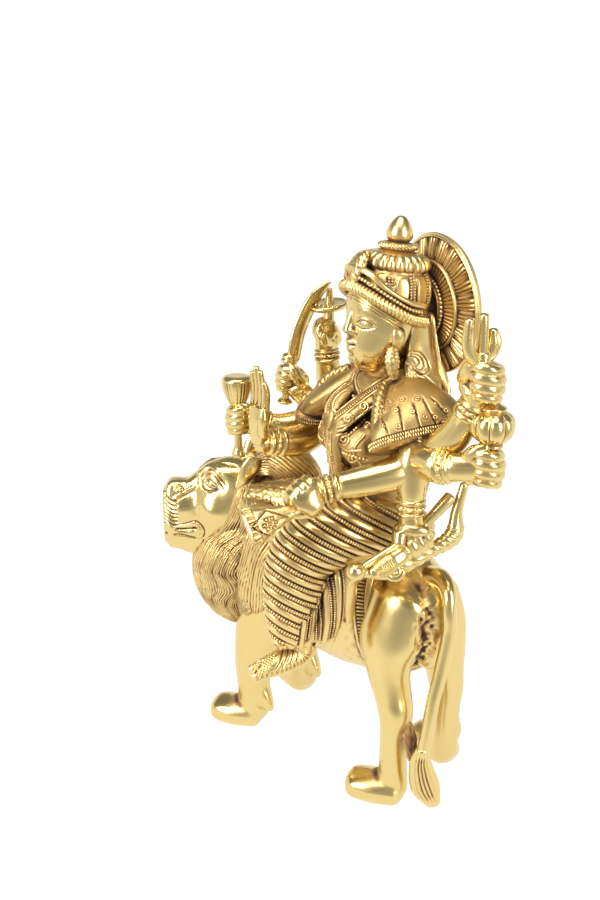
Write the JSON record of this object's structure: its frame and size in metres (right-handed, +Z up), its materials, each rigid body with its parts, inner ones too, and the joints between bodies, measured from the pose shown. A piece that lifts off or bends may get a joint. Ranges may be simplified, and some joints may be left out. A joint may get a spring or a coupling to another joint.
{
  "type": "durga figure",
  "caption": "Cast brass figure of a many-armed goddess in a tall crown, seated sideways on a standing lion, with a dished halo.",
  "frame": {"origin": "on the ground, under the middle of the figure's box", "axes": "+Z up; the lion's body lies along X with its head towards -X; the goddess faces -Y and a little towards -X"},
  "size_m": [0.1732, 0.1164, 0.254],
  "materials": {
    "brass": "satin cast brass, bright on the raised parts, with dark brown patina in the recesses"
  },
  "bodies": {
    "root": {"lion": "brass", "goddess": "brass"}
  },
  "joints": []
}
